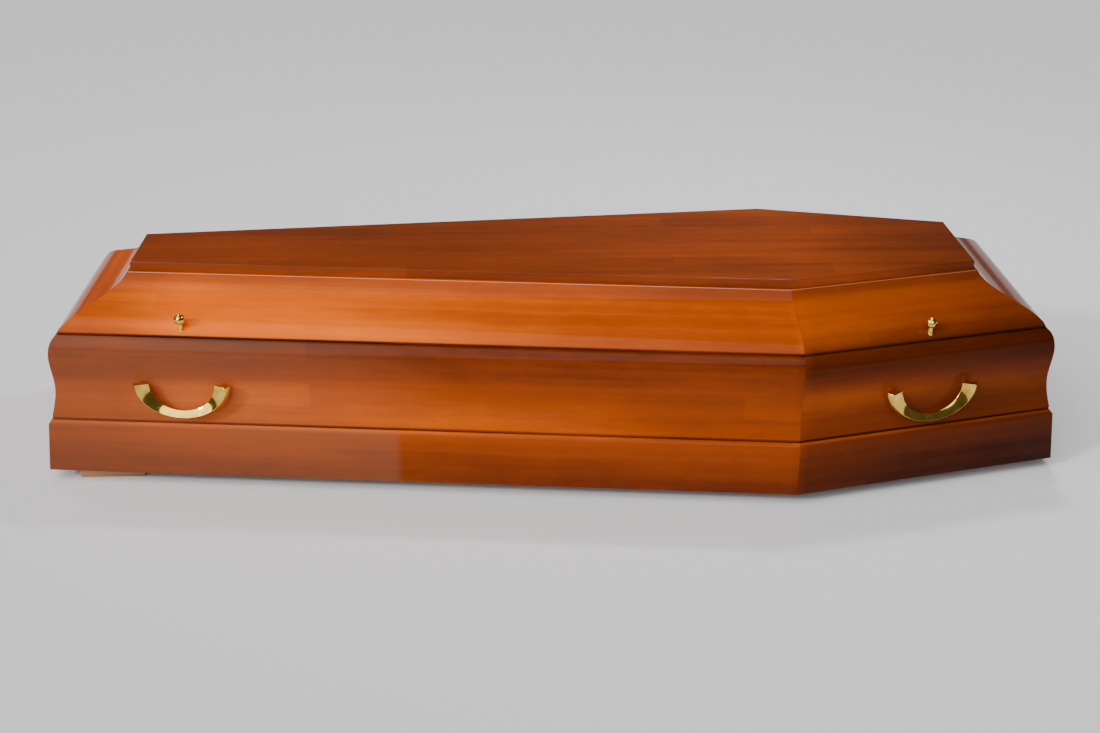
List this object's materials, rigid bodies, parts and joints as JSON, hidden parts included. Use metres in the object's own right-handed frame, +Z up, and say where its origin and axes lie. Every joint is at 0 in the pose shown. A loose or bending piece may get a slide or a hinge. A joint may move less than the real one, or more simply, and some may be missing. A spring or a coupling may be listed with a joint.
{
  "type": "wooden coffin",
  "caption": "Closed shouldered wooden coffin with ogee-moulded sides on a leaning plinth, a raised mitred lid with screws, brass bow handles and cross runners underneath",
  "frame": {"origin": "Middle of the length and of the width, on the floor that the runners stand on.", "axes": "+X runs from the foot end to the head end, +Y to the right-hand side of someone lying in it, +Z up."},
  "size_m": [2, 0.72, 0.4007],
  "materials": {
    "lacquered_wood": "high gloss reddish-brown lacquer over straight horizontal grain",
    "plain_wood": "plain planed boards, thinly sealed",
    "polished_brass": "polished"
  },
  "bodies": {
    "root": {"runner_foot": "plain_wood", "runner_head": "plain_wood", "floor": "plain_wood", "plinth_left_side": "lacquered_wood", "plinth_left_shoulder": "lacquered_wood", "plinth_head": "lacquered_wood", "plinth_right_shoulder": "lacquered_wood", "plinth_right_side": "lacquered_wood", "plinth_foot": "lacquered_wood", "wall_left_side": "lacquered_wood", "wall_left_shoulder": "lacquered_wood", "wall_head": "lacquered_wood", "wall_right_shoulder": "lacquered_wood", "wall_right_side": "lacquered_wood", "wall_foot": "lacquered_wood", "lid_left_side": "lacquered_wood", "lid_left_shoulder": "lacquered_wood", "lid_head": "lacquered_wood", "lid_right_shoulder": "lacquered_wood", "lid_right_side": "lacquered_wood", "lid_foot": "lacquered_wood", "lid_board": "lacquered_wood", "handle_left_side": "polished_brass", "handle_left_shoulder": "polished_brass", "handle_right_shoulder": "polished_brass", "handle_right_side": "polished_brass", "screw_left_side": "polished_brass", "screw_left_shoulder": "polished_brass", "screw_right_shoulder": "polished_brass", "screw_right_side": "polished_brass"}
  },
  "joints": []
}
